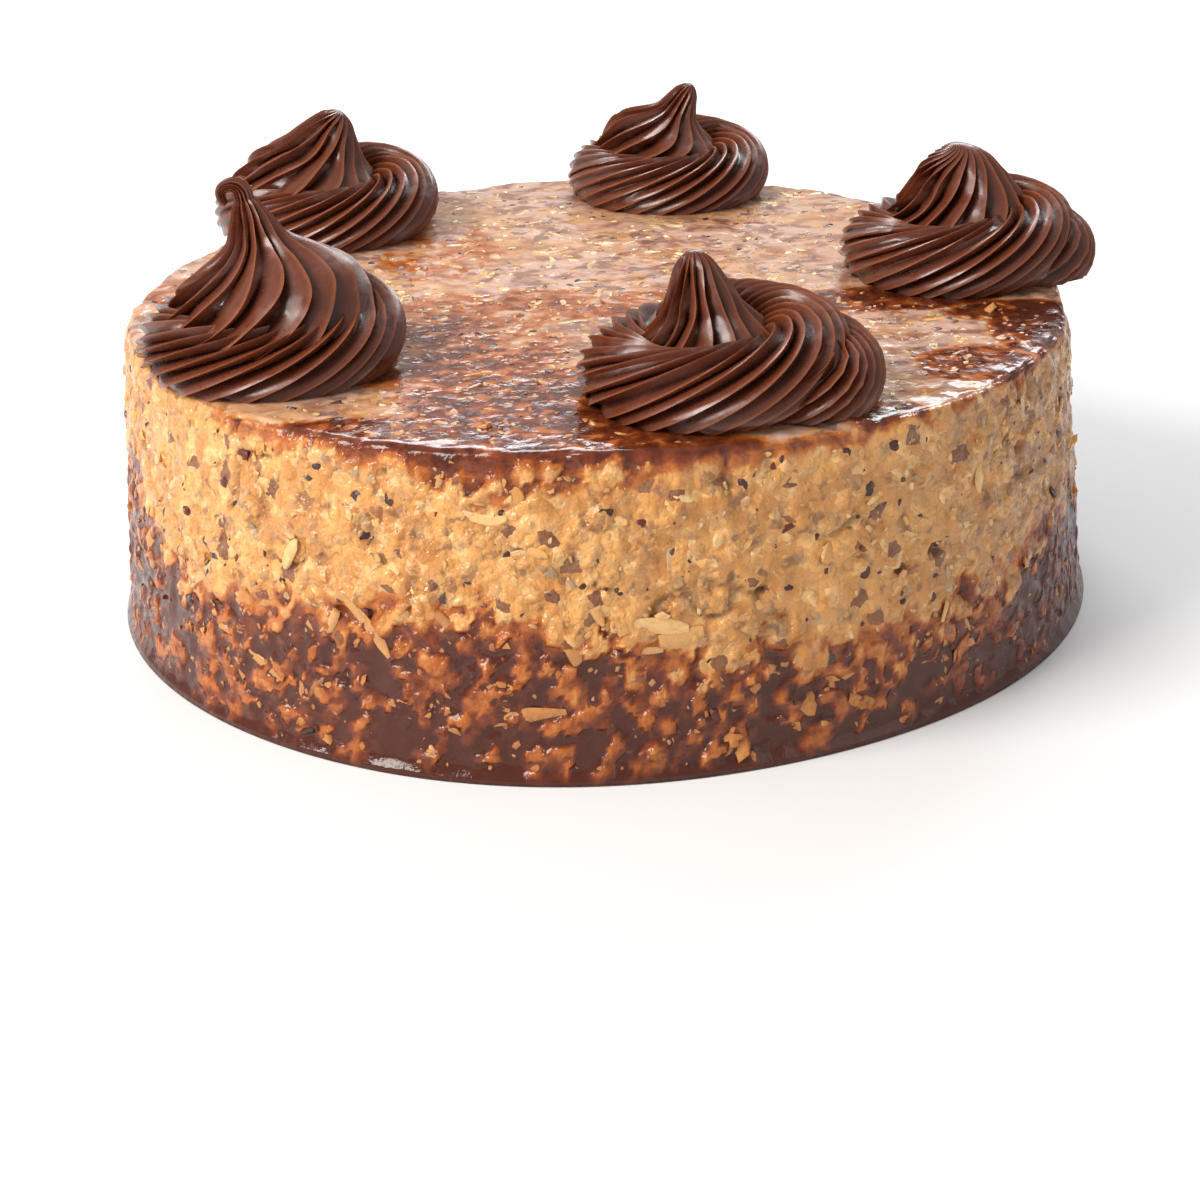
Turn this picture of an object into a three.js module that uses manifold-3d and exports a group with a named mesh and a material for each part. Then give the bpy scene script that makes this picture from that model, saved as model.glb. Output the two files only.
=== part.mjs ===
// A round layer cake in coconut and pecan frosting, with five piped chocolate rosettes near the top edge.
// Lengths are millimetres, +Z is up, and the origin is the centre of the flat underside. The side that is
// seen in the reference view faces -Y, and angles turn counter-clockwise from +X, seen from above.
import * as THREE from "three";
import { mergeVertices } from "three/addons/utils/BufferGeometryUtils.js";
import Module from "manifold-3d";

// ---- The frosted cake ----
const BASE_RADIUS = 117;
const TOP_RADIUS = 110.8;
const CAKE_HEIGHT = 71.3;
const RIM_ROUNDING = 2.2; // how far the top edge is rounded off
const FOOT_HEIGHT = 2.5; // a thin skirt of frosting spreads at the very bottom
const FOOT_SPREAD = 1.2;
const OUTLINE_WAVES = [
  // [waves round the cake, height of the wave, phase]: a hand-spread side is never a true circle
  [2, 0.9, 0.4],
  [3, 0.7, 2.1],
  [5, 0.45, 4.0],
];
const CRAG_DEPTH = 0.55; // small lumps that the spatula leaves in the side
const TOP_CRAG_DEPTH = 0.35;
const SIDE_SECTORS = 84;
const SIDE_ROWS = 6;
const TOP_RINGS = [98, 76, 44]; // radii of the rings of points on the top

// ---- Coconut flakes and pecan bits, half sunk in the frosting ----
const FLAKE = { length: [6, 16], width: [2, 3.4], thickness: 2.2, standOut: 0.75 };
const SIDE_FLAKES = 80;
const TOP_FLAKES = 30;
const NUT = { size: [2.8, 5.2], standOut: 0.4 };
const SIDE_NUTS = 40;
const TOP_NUTS = 10;
const SIDE_MARGIN = 6; // flakes stay this far from the top edge and the foot
const ROSETTE_CLEARANCE = 8; // and this far from a rosette's outermost ridge

// ---- The rosettes ----
const REST_GAP = 0.3; // between a rosette's flat base and the frosting
const RIDGES = 24; // ridges that cross the rope in one turn of the ring
const RIDGE_DEPTH = 0.25; // as a share of the rope's radius
const RIDGE_LEAN = 0.26; // a ridge's crest lies this share of its width past its middle
const RIDGE_SLANT = 0.667; // degrees that a ridge goes round the ring for each degree round the rope
const ROPE_SQUASH = 0.95; // a laid rope sags to this share of its height
const ROPE_SINK = 0.5; // height of the rope's middle over the cake, as a share of its radius
const DRAW_IN = [0.8, 1.2]; // turns over which the rope leaves the outer ring for the inner one
const CLIMB_UP = [0.72, 1.14]; // turns over which it climbs on to the first turn
const INNER_REACH = 1.05; // distance of the second turn from the rosette's axis, in rope radii
const LIFT_REACH = 0.35; // the same where the rope is pulled up, and the rope's radius there
const LIFT_ROPE = 0.85;
const LAP = 0.08; // turns over which the rope's free end slips out from under the next turn
const PEAK_WIDTH = 3.4; // a peak's radius is this times the depth below its tip to the power given below
const PEAK_POWER = 0.43;
const TIP_RADIUS = 1.2; // of a tip that curls over
// How far round the rope each row of points lies, in degrees: 0 is its outer side and 90 its top.
const LOWER_ROWS = [-32, -12, 10, 34, 58, 80];
const UPPER_ROWS = [12, 46, 80];
const PEAK_ROWS = [15.5, 10.5, 6, 2.4, 0.6]; // depths below the tip
// centre: where the rosette sits on the top. radius: to its outermost ridge. rope: the piped rope's radius.
// start: the bearing of the rope's free end. turns: how often it goes round. climb: how far it rises.
// tail: how far the free end sticks out. peak: the tip's height over the cake's top. lean: where the tip
// stands over the rosette's middle, as [x, y]. hook: radius of a tip that curls over.
const ROSETTES = [
  {
    name: "rosette_front_left", centre: [-73.1, -44.5], radius: 30.8, rope: 10.5, start: 15,
    turns: 1.6, climb: 9, tail: 0, peak: 41.5, lean: [-4.5, 0], hook: 2.6,
  },
  {
    name: "rosette_back_left", centre: [-70.5, 68], radius: 30.4, rope: 10.2, start: -10,
    turns: 1.6, climb: 7, tail: 0, peak: 29, lean: [6.5, 0], hook: 0,
  },
  {
    name: "rosette_back", centre: [20.8, 95], radius: 28, rope: 9.6, start: 10,
    turns: 1.6, climb: 6, tail: 0, peak: 29, lean: [6, 0], hook: 0,
  },
  {
    name: "rosette_right", centre: [90, 14.5], radius: 30, rope: 10, start: -55,
    turns: 1.6, climb: 7, tail: 3, peak: 31, lean: [-3.5, -1], hook: 0,
  },
  {
    name: "rosette_front", centre: [26.2, -73.5], radius: 31.3, rope: 10.2, start: -64,
    turns: 1.62, climb: 7, tail: 4, peak: 31.3, lean: [-6, -1], hook: 0,
  },
];

const FROSTING = new THREE.MeshStandardMaterial({ color: 0xc99355, roughness: 0.35, metalness: 0 });
const CHOCOLATE = new THREE.MeshStandardMaterial({ color: 0x4a2619, roughness: 0.4, metalness: 0 });

const wasm = await Module();
wasm.setup();

// ---- Helpers ----

/** A seeded random number generator, so that every run places the same flakes. */
function seededRandom(seed) {
  let state = seed;
  return () => {
    state = (state + 0x6d2b79f5) | 0;
    let mixed = Math.imul(state ^ (state >>> 15), 1 | state);
    mixed = (mixed + Math.imul(mixed ^ (mixed >>> 7), 61 | mixed)) ^ mixed;
    return ((mixed ^ (mixed >>> 14)) >>> 0) / 4294967296;
  };
}

function between(random, [low, high]) {
  return low + (high - low) * random();
}

function degrees(angle) {
  return (angle * Math.PI) / 180;
}

/** 0 at or below 0, 1 at or above 1, and a smooth rise between. */
function smooth(share) {
  const x = Math.min(Math.max(share, 0), 1);
  return x * x * (3 - 2 * x);
}

/** Turns a closed geometry into a solid that can be joined and cut. */
function toSolid(geometry) {
  const bare = geometry.clone();
  bare.deleteAttribute("normal");
  bare.deleteAttribute("uv");
  const merged = mergeVertices(bare, 1e-5);
  return new wasm.Manifold(
    new wasm.Mesh({
      numProp: 3,
      vertProperties: new Float32Array(merged.attributes.position.array),
      triVerts: new Uint32Array(merged.index.array),
    }),
  );
}

function toGeometry(solid) {
  const mesh = solid.getMesh();
  const geometry = new THREE.BufferGeometry();
  geometry.setAttribute("position", new THREE.BufferAttribute(new Float32Array(mesh.vertProperties), 3));
  geometry.setIndex(new THREE.BufferAttribute(new Uint32Array(mesh.triVerts), 1));
  geometry.computeVertexNormals();
  return geometry;
}

/**
 * A closed geometry through rings of points of equal count, each counter-clockwise seen from the end of the
 * stack. The first and last ring are closed by a fan round the given points.
 */
function loft(rings, firstCentre, lastCentre) {
  const count = rings[0].length;
  const points = [...rings.flat(), firstCentre, lastCentre];
  const first = rings.length * count;
  const last = first + 1;
  const index = [];
  for (let side = 0; side < count; side += 1) {
    const next = (side + 1) % count;
    for (let row = 0; row + 1 < rings.length; row += 1) {
      const a = row * count + side;
      const b = row * count + next;
      index.push(a, b, b + count, a, b + count, a + count);
    }
    const top = (rings.length - 1) * count;
    index.push(first, next, side);
    index.push(last, top + side, top + next);
  }
  const geometry = new THREE.BufferGeometry().setFromPoints(points);
  geometry.setIndex(index);
  return geometry;
}

// ---- The frosted body ----

/** The side's radius at an angle and a height, before crags. */
function sideRadius(angle, height) {
  const share = height / CAKE_HEIGHT;
  let radius = BASE_RADIUS + (TOP_RADIUS - BASE_RADIUS) * share;
  for (const [waves, depth, phase] of OUTLINE_WAVES) {
    radius += depth * Math.sin(waves * angle + phase + 1.3 * share);
  }
  return radius;
}

function underRosette(x, y, margin) {
  return ROSETTES.some(({ centre, radius }) => Math.hypot(x - centre[0], y - centre[1]) < radius + margin);
}

function frostedBody() {
  const random = seededRandom(11);
  const rings = [];
  const ringAt = (radiusAt, heightAt) => {
    const ring = [];
    for (let sector = 0; sector < SIDE_SECTORS; sector += 1) {
      const angle = (2 * Math.PI * sector) / SIDE_SECTORS;
      const radius = radiusAt(angle);
      const x = radius * Math.cos(angle);
      const y = radius * Math.sin(angle);
      ring.push(new THREE.Vector3(x, y, heightAt(x, y)));
    }
    rings.push(ring);
  };
  ringAt((angle) => sideRadius(angle, 0) + FOOT_SPREAD, () => 0);
  for (let row = 0; row < SIDE_ROWS; row += 1) {
    const share = row / (SIDE_ROWS - 1);
    const height = FOOT_HEIGHT + (CAKE_HEIGHT - RIM_ROUNDING - FOOT_HEIGHT) * share;
    ringAt((angle) => sideRadius(angle, height) + CRAG_DEPTH * (2 * random() - 1), () => height);
  }
  ringAt((angle) => sideRadius(angle, CAKE_HEIGHT) - RIM_ROUNDING, () => CAKE_HEIGHT);
  for (const radius of TOP_RINGS) {
    ringAt(
      () => radius,
      (x, y) => CAKE_HEIGHT - (underRosette(x, y, 12) ? 0 : TOP_CRAG_DEPTH * random()),
    );
  }
  return toSolid(loft(rings, new THREE.Vector3(0, 0, 0), new THREE.Vector3(0, 0, CAKE_HEIGHT)));
}

/** A flat strip of coconut with one end narrower, lying in the XY plane with its outer face up. */
function flakeGeometry(random) {
  const length = between(random, FLAKE.length);
  const width = between(random, FLAKE.width);
  const strip = new THREE.BoxGeometry(length, width, FLAKE.thickness);
  const narrow = 0.4 + 0.5 * random();
  const position = strip.attributes.position;
  for (let i = 0; i < position.count; i += 1) {
    const atEnd = position.getX(i) > 0;
    position.setY(i, position.getY(i) * (atEnd ? narrow : 1));
  }
  strip.translate(0, 0, FLAKE.standOut - FLAKE.thickness / 2);
  return strip;
}

/** A chip of pecan: a lopsided lump that stands out of the XY plane. */
function nutGeometry(random) {
  const size = between(random, NUT.size);
  const chip = new THREE.OctahedronGeometry(size / 2);
  chip.scale(1, 0.7 + 0.3 * random(), 0.6);
  chip.translate(0, 0, NUT.standOut);
  return chip;
}

/** Turns a topping from the XY plane on to the side or the top of the cake, spun by a given angle. */
function placed(geometry, spin, origin, outward) {
  geometry.rotateZ(spin);
  geometry.applyQuaternion(new THREE.Quaternion().setFromUnitVectors(new THREE.Vector3(0, 0, 1), outward));
  geometry.translate(origin.x, origin.y, origin.z);
  return toSolid(geometry);
}

/** Toppings spread evenly over the side, as a sunflower's seeds are, with a little unevenness. */
function sideToppings(count, makeGeometry, seed) {
  const random = seededRandom(seed);
  const goldenAngle = Math.PI * (3 - Math.sqrt(5));
  const slope = Math.atan2(BASE_RADIUS - TOP_RADIUS, CAKE_HEIGHT);
  const solids = [];
  for (let i = 0; i < count; i += 1) {
    const angle = goldenAngle * i + 0.15 * random();
    const share = (i + random()) / count;
    const height = SIDE_MARGIN + (CAKE_HEIGHT - 2 * SIDE_MARGIN) * share;
    const radius = sideRadius(angle, height);
    const origin = new THREE.Vector3(radius * Math.cos(angle), radius * Math.sin(angle), height);
    const outward = new THREE.Vector3(
      Math.cos(slope) * Math.cos(angle),
      Math.cos(slope) * Math.sin(angle),
      Math.sin(slope),
    );
    solids.push(placed(makeGeometry(random), Math.PI * random(), origin, outward));
  }
  return solids;
}

/** Toppings spread evenly over the top, outside the rosettes. */
function topToppings(count, makeGeometry, seed) {
  const random = seededRandom(seed);
  const goldenAngle = Math.PI * (3 - Math.sqrt(5));
  const reach = TOP_RADIUS - SIDE_MARGIN - FLAKE.length[1] / 2;
  const solids = [];
  for (let i = 0; solids.length < count; i += 1) {
    const angle = goldenAngle * i + seed;
    const radius = reach * Math.sqrt(((i * 0.731) % 1) + 0.001);
    const origin = new THREE.Vector3(radius * Math.cos(angle), radius * Math.sin(angle), CAKE_HEIGHT - 0.2);
    if (!underRosette(origin.x, origin.y, ROSETTE_CLEARANCE)) {
      solids.push(placed(makeGeometry(random), Math.PI * random(), origin, new THREE.Vector3(0, 0, 1)));
    }
  }
  return solids;
}

function cake() {
  const pieces = [
    frostedBody(),
    ...sideToppings(SIDE_FLAKES, flakeGeometry, 3),
    ...sideToppings(SIDE_NUTS, nutGeometry, 5),
    ...topToppings(TOP_FLAKES, flakeGeometry, 7),
    ...topToppings(TOP_NUTS, nutGeometry, 9),
  ];
  return pieces.reduce((whole, piece) => whole.add(piece));
}

// ---- The rosettes ----

/** How far a turn is through a span of turns, from 0 to 1. */
function through([from, to], turn) {
  return smooth((turn - from) / (to - from));
}

/** The rope after so many turns: its distance from the rosette's axis, its height and its radius. */
function ropeAt({ radius, rope, turns, climb, tail }, turn) {
  const outer = radius - rope;
  const inner = rope * INNER_REACH;
  const lifted = through([turns, 2], turn);
  const loose = tail * (1 - smooth(turn / 0.4));
  const laid = outer + (inner - outer) * through(DRAW_IN, turn) + loose;
  return {
    reach: laid + (rope * LIFT_REACH - inner) * lifted,
    height: rope * ROPE_SINK + climb * through(CLIMB_UP, turn),
    radius: rope * (1 + (LIFT_ROPE - 1) * lifted),
  };
}

/** The rope on the first or second time round, at a bearing. The turns run into each other at the free end. */
function ropeRound(sizes, bearing, round) {
  const since = (bearing - degrees(sizes.start)) / (2 * Math.PI);
  const turn = since - Math.floor(since);
  const here = ropeAt(sizes, turn + round);
  const before = ropeAt(sizes, Math.max(turn + round - 1, 0));
  const lap = smooth((turn - 1 + LAP) / LAP);
  const mixed = (name) => here[name] + (before[name] - here[name]) * lap;
  return { reach: mixed("reach"), height: mixed("height"), radius: mixed("radius") };
}

/**
 * Calls makePoint for the foot and the crest of each ridge, with its bearing and its share of the full radius.
 * The nozzle turns half as fast as it goes round, so each ridge runs slantwise over the rope from the outer
 * side to the inner one, and its crest leans the way that the rope is laid.
 */
function ringOfRidges(makePoint) {
  const ring = [];
  for (let ridge = 0; ridge < RIDGES; ridge += 1) {
    ring.push(makePoint((2 * Math.PI * ridge) / RIDGES, 1 - RIDGE_DEPTH));
    ring.push(makePoint((2 * Math.PI * (ridge + 0.5 + RIDGE_LEAN)) / RIDGES, 1));
  }
  return ring;
}

/** A row of points on the laid rope, the given angle round it. Slants are counted from the rope's outer side. */
function ropeRow(sizes, round, aroundRope, slant) {
  return ringOfRidges((ridge, share) => {
    const bearing = ridge + slant;
    const middle = ropeRound(sizes, bearing, round);
    const reach = middle.reach + middle.radius * share * Math.cos(aroundRope);
    const height = middle.height + middle.radius * share * ROPE_SQUASH * Math.sin(aroundRope);
    return new THREE.Vector3(reach * Math.cos(bearing), reach * Math.sin(bearing), height);
  });
}

/** A row of points round the rope where it is pulled up, square to its line. */
function pulledRow(centre, heading, radius, slant) {
  return ringOfRidges((ridge, share) => {
    const x = Math.cos(ridge + slant);
    const y = Math.sin(ridge + slant);
    const ahead = x * heading.x + y * heading.y;
    const tilt = ahead / (1 + heading.z);
    const offset = new THREE.Vector3(x - tilt * heading.x, y - tilt * heading.y, -ahead);
    return offset.multiplyScalar(radius * share).add(centre);
  });
}

/** The stem of a rosette's peak: it leans further over the higher it is. */
function peakCentre({ peak, lean }, depth) {
  const share = 1 - smooth(depth / PEAK_ROWS[0]) * 0.6;
  return new THREE.Vector3(lean[0] * share, lean[1] * share, peak - depth);
}

/** Rows round a tip that is drawn out thin and curls over to the side that it leans to. */
function hookRows({ peak, lean, hook }, slant) {
  const side = Math.sign(lean[0]);
  const rows = [];
  for (const angle of [15, 55, 95, 135]) {
    const turned = degrees(angle);
    const centre = new THREE.Vector3(
      lean[0] + side * hook * (1 - Math.cos(turned)),
      lean[1],
      peak - hook + hook * Math.sin(turned),
    );
    const heading = new THREE.Vector3(side * Math.sin(turned), 0, Math.cos(turned));
    rows.push(pulledRow(centre, heading, TIP_RADIUS, slant));
  }
  return rows;
}

function rosette(sizes) {
  const slantAt = (angle) => degrees(angle * RIDGE_SLANT);
  const base = ropeRow(sizes, 0, degrees(LOWER_ROWS[0]), slantAt(LOWER_ROWS[0]));
  const rings = [base.map((point) => new THREE.Vector3(point.x, point.y, 0))];
  for (const angle of LOWER_ROWS.slice(1)) {
    rings.push(ropeRow(sizes, 0, degrees(angle), slantAt(angle)));
  }
  const lowerSlant = slantAt(LOWER_ROWS[LOWER_ROWS.length - 1]);
  for (const angle of UPPER_ROWS) {
    rings.push(ropeRow(sizes, 1, degrees(angle), lowerSlant + slantAt(angle)));
  }
  const flutes = lowerSlant + slantAt(UPPER_ROWS[UPPER_ROWS.length - 1]);
  const up = new THREE.Vector3(0, 0, 1);
  const stem = { ...sizes, peak: sizes.peak - 2 * sizes.hook };
  for (const depth of PEAK_ROWS) {
    rings.push(pulledRow(peakCentre(stem, depth), up, PEAK_WIDTH * depth ** PEAK_POWER, flutes));
  }
  let tip = peakCentre(sizes, 0);
  if (sizes.hook > 0) {
    rings.pop();
    rings.push(...hookRows(sizes, flutes));
    const last = rings[rings.length - 1];
    tip = last.reduce((sum, point) => sum.add(point), new THREE.Vector3()).divideScalar(last.length);
  }
  return loft(rings, new THREE.Vector3(0, 0, 0), tip);
}

// ---- The whole cake ----

function named(name, geometry, material) {
  const mesh = new THREE.Mesh(geometry, material.clone());
  mesh.name = name;
  return mesh;
}

const group = new THREE.Group();
group.add(named("cake", toGeometry(cake()), FROSTING));
for (const sizes of ROSETTES) {
  const mesh = named(sizes.name, rosette(sizes), CHOCOLATE);
  mesh.position.set(sizes.centre[0], sizes.centre[1], CAKE_HEIGHT + REST_GAP);
  group.add(mesh);
}

export default group;
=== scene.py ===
"""A round layer cake in coconut and pecan frosting with five piped chocolate rosettes.

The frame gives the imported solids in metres. Shapes here are worked out in millimetres and scaled as
they become meshes. The side that the camera sees faces -Y, and bearings turn counter-clockwise from
+X, seen from above, in degrees.
"""
import math
import bmesh
import bpy
import numpy as np
from mathutils import Matrix, Vector
from mathutils.kdtree import KDTree


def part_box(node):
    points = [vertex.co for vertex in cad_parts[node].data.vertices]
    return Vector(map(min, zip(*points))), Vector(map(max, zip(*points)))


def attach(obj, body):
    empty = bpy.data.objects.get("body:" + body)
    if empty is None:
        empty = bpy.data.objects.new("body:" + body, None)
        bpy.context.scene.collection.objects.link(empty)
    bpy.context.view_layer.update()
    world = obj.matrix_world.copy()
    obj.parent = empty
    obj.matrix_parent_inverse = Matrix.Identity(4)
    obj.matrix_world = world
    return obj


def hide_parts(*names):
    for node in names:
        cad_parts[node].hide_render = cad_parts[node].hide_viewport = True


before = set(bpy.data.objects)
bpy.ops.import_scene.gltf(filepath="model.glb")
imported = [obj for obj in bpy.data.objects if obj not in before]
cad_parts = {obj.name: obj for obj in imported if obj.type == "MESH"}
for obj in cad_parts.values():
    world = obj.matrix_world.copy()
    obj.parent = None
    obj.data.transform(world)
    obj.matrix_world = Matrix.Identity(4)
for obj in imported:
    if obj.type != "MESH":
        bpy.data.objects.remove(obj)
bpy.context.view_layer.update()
MM = 0.001

# ---- The frosted body, as its solid in the frame ----
BASE_RADIUS = 117.0
TOP_RADIUS = 110.8
CAKE_HEIGHT = 71.3
RIM_ROUNDING = 2.2
FOOT_HEIGHT = 3.2  # of the frosting that spreads at the foot
FOOT_SPREAD = 1.7
OUTLINE_WAVES = ((2, 0.9, 0.4), (3, 0.7, 2.1), (5, 0.45, 4.0))  # waves round the cake, height, phase
OUTLINE_TWIST = 1.3  # how far the waves turn from the foot to the rim, in radians
GRID_STEP = 1.1  # between the body's points
COLUMNS = 668  # points in each ring of the side; the top's inner rings have a half and a quarter
RIM_TURNS = (18, 90, 5)  # the rings over the rim: first and last turn in degrees, and their number
THINNING_RADII = (62.0, 26.0, 7.0)  # where the top's rings lose half their points, and the last ring
STEP_GROWTH = 1.35  # of the gap between rings, where they lose points

# ---- The paste's relief: each noise's height, the size of its lumps and its seed ----
LUMPS = ((0.6, 6.5, 1), (0.62, 3.1, 2))
GRAIN = ((0.26, 1.7, 3),)
SCRAPED = ((0.12, 14.0, 4), (0.035, 4.5, 5))  # on the top
CRACK_DEPTH = 1.2
CRACK_WIDTH = 0.13  # as a share of the noise that the cracks follow
RIM_START, RIM_REACH = 102.0, 5.0  # how far out the top's lumps begin, and over how far they grow
RIM_LUMPS = 0.45  # as a share of the side's
HOLLOW_DEPTH = 1.3  # of a small hole, as a share of its radius

# ---- Toppings ----
FLAKE_COUNT = 600
CHIP_COUNT = 5400
PECAN_COUNT = 1250
PITS = 36  # small holes in the side
FLOOR_GAP = 0.6  # that toppings keep from the floor
TRIES = 6  # places tried for each topping on the top
GROWTH_IN_FILM = 0.45  # how much larger the chips in the chocolate are
# The largest flakes and nuts that show: bearing, height and length, and then a flake's width and slope
LARGE_FLAKES = (
    (-85, 34, 15, 4.0, -5), (-82, 30.5, 9.5, 4.4, 8), (-116, 32, 17, 2.6, -46), (-102.5, 57, 9, 2.6, -3),
    (-96, 56, 5, 3.0, 60), (-89, 57, 6, 2.4, -8), (-130, 17, 12, 2.4, -20), (-99, 15, 19, 3.0, 12),
    (-93.5, 20, 6, 4.0, 70), (-79, 22, 8, 3.0, -60), (-58, 40, 8, 3.4, -30), (-44, 52, 7, 3.0, 80),
    (-66, 33, 9, 2.4, -35), (-126, 44, 8, 3.0, 65), (-146, 50, 9, 2.6, 30), (-61, 9, 9, 3.2, -25),
)
LARGE_NUTS = (
    (-75, 46, 6.5), (-72.3, 46.5, 5.0), (-112, 63, 4.6), (-116.5, 59, 4.4), (-104, 62, 5.4),
    (-101.5, 58, 6.0), (-107, 40, 4.6), (-70.5, 38, 4.4), (-60, 58, 5.0), (-49, 43, 5.6),
    (-127, 55, 5.0), (-139, 58, 5.2), (-84, 63, 4.4), (-57, 50, 4.0), (-134, 38, 4.2),
)

# ---- Rosettes ----
TEETH = 16  # of the star nozzle
WRIST_TURN = 0.5  # turns of the nozzle for each turn of the ring
POINTS_PER_TOOTH = 9
CREST = 7  # which point is a tooth's crest: a ridge rises gently and falls off steeply
STEPS_PER_TURN = 100
RIDGE_DEPTH = 0.29  # as a share of the rope's radius
ROPE_SINK = 0.5  # height of the rope's middle, as a share of its radius
ROPE_SQUASH = 0.95  # its height as a share of its width
DEEPEST_GROOVE = 3.6
LAP_START = 0.8  # turns after which the rope winds inwards
CLIMB_START = 0.72  # turns after which it climbs onto itself
CALM_WIDTH = 55  # degrees to either side over which its ridges are smoothed
PEAK_FOOT = 6.0  # height of the peak's lowest ring, hidden inside the rope
PEAK_STEPS = 120
HOOK_TURN, HOOK_STEPS = 235, 44  # the degrees that a curled tip turns, and its steps
HOOK_END = 0.8  # its last radius
# radius: to the outermost ridge; rope: the rope's own radius; start: the bearing of its free end
# inner: how far from the centre it ends; climb: how far it rises onto itself; tail: how far the free
#     end sticks out
# peak: the height of the tip; axis, lean: where the peak's foot and its tip stand; hook: the radius
#     of a curled tip
# outline: the peak's radius near the tip, its growth for each millimetre down, how much it flares,
#     and between which depths; blunt: the depth over which the tip is rounded
# eye, swirl: degrees that the folds wind at the tip and over the whole peak
# soft: how rounded the ridges are; calm: the bearing where they are smoothed away, and how much
ROSETTES = {
    "rosette_front_left": dict(
        centre=(-73.1, -44.5), radius=30.8, rope=9.9, start=15, turns=1.45, inner=9, climb=4.5, tail=0,
        peak=38.0, axis=(0.5, -1), lean=(-4.2, 0), hook=2.4, outline=(2.3, 0.47, 9.8, 8.5, 20),
        blunt=2.2, eye=0, swirl=75, soft=0.35, calm=(180, 0.25)),
    "rosette_back_left": dict(
        centre=(-70.5, 68), radius=30.4, rope=9.8, start=-10, turns=1.45, inner=9, climb=4.5, tail=0,
        peak=30.3, axis=(-3.5, 0), lean=(4.5, 0), hook=0, outline=(3.2, 0.8, 3, 9, 16),
        blunt=2.6, eye=30, swirl=60, soft=0.9, calm=(200, 0.7)),
    "rosette_back": dict(
        centre=(20.8, 95), radius=28, rope=9.3, start=10, turns=1.45, inner=8, climb=4, tail=0,
        peak=29, axis=(-2.5, 0), lean=(6.3, 0), hook=0, outline=(2.4, 0.46, 7.5, 6.5, 14),
        blunt=2.6, eye=0, swirl=60, soft=0.9, calm=(205, 0.8)),
    "rosette_right": dict(
        centre=(90, 14.5), radius=30, rope=9.8, start=-55, turns=1.6, inner=8, climb=6, tail=3,
        peak=31.2, axis=(-0.5, 0), lean=(-3.2, -2.5), hook=0, outline=(5.4, 0.74, 0, 0, 1),
        blunt=6.0, eye=110, swirl=80, soft=0.6, calm=(190, 0.6)),
    "rosette_front": dict(
        centre=(26.2, -73.5), radius=31.3, rope=10, start=-64, turns=1.7, inner=7, climb=6, tail=5,
        peak=31.4, axis=(-3.0, -1), lean=(-6.5, -1), hook=0, outline=(3.0, 0.48, 3.5, 12, 20),
        blunt=3.4, eye=25, swirl=35, soft=0.5, calm=(200, 0.3)),
}

# ---- Where chocolate has run: over the foot, the rim and the top ----
FILM_HEIGHT = 24.0  # mean height of the chocolate on the side
FILM_SWAY = 3.0  # how much it rises and falls in two waves round the cake
FILM_RISES = ((-106, 28, 11), (-164, 13, 17), (-22, 12, 8))  # bearing, width, and how much higher
FILM_RAGGED = ((5.5, 9.0, 21), (3.5, 4.2, 22))  # as the paste's relief
FILM_FADE = 21.0  # height over which it thins out
FOOT_FILM, FOOT_FILM_FADE = 6.0, 4.0  # the same for the chocolate that always covers the foot
DRIP_DEPTH = 9.5  # how far it has run over the rim, at most
DRIP_SHORT = 2.5  # how far it stops short of the rim elsewhere
DRIP_BEARING = -99.0
DRIP_WIDTH = 30.0
DRIP_FADE = 14.0
DRIP_THICKNESS = 0.85
TOP_THICKNESS = 0.75
SMEAR_EDGE = 1.6  # the square of the reach, in half-widths, at which a smear ends
STREAKS = ((0.28, 2.2, 16.0, 23), (0.2, 2.5, 5.0, 24))  # strength, length to width, size and seed
# x, y, half-width and half-depth in millimetres, and strength, of each smear on the top
SMEARS = (
    (-30, -97, 50, 13, 1.0), (5, -106, 30, 8, 0.95), (-12, -76, 30, 19, 1.0), (-34, -42, 28, 28, 0.6),
    (-14, -8, 36, 13, 0.5), (70, -10, 24, 9, 0.95), (98, -22, 16, 8, 0.8), (62, -92, 10, 8, 0.8),
    (-40, 40, 16, 26, 0.35), (-92, 8, 18, 16, 0.5), (84, -60, 14, 12, 0.55), (100, -38, 10, 16, 0.7),
)

# ---- Colours, as linear red, green and blue ----
CARAMEL = (0.55, 0.230, 0.060)  # the paste, from here to the nut sunk in it
HONEY = (0.72, 0.350, 0.105)
BUTTER = (0.80, 0.48, 0.19)
PASTE_SHADE = (0.20, 0.10, 0.055)
PASTE_SEAM = (0.20, 0.06, 0.025)
SUNK_COCONUT = (0.44, 0.27, 0.14)
PALE_COCONUT = (0.88, 0.56, 0.25)
SUNK_NUT = (0.14, 0.04, 0.028)
RIGHT_GREY_AND_SHADE = (0.22, 0.125, 0.08)  # blotches towards the right: partly greyer paste, partly painted shade on the side away from the key light
HAZE_DARK, HAZE_PALE = (0.29, 0.130, 0.092), (0.61, 0.39, 0.305)  # the top
HAZE_GOLD, HAZE_NUT = (0.62, 0.31, 0.115), (0.12, 0.08, 0.07)
AMBER = (0.44, 0.122, 0.019)  # the chocolate, from thin to thick
BROWN = (0.19, 0.038, 0.010)
DARK_BROWN = (0.072, 0.014, 0.0055)
# painted shade in the paste's cracks and small holes
HOLLOW_SHADE = (0.07, 0.025, 0.015)
FLAKES = ((0.76, 0.46, 0.19), (0.66, 0.33, 0.10), (0.52, 0.34, 0.19))  # pale, golden and grey
CHIPS = ((0.84, 0.56, 0.27), (0.64, 0.31, 0.09), (0.40, 0.25, 0.135))
COATED_FLAKE, COATED_CHIP = (0.40, 0.115, 0.02), (0.44, 0.118, 0.018)  # in the chocolate
COCONUT_STAIN, COCONUT_SPECK = (0.62, 0.32, 0.10), (0.30, 0.13, 0.05)
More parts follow.
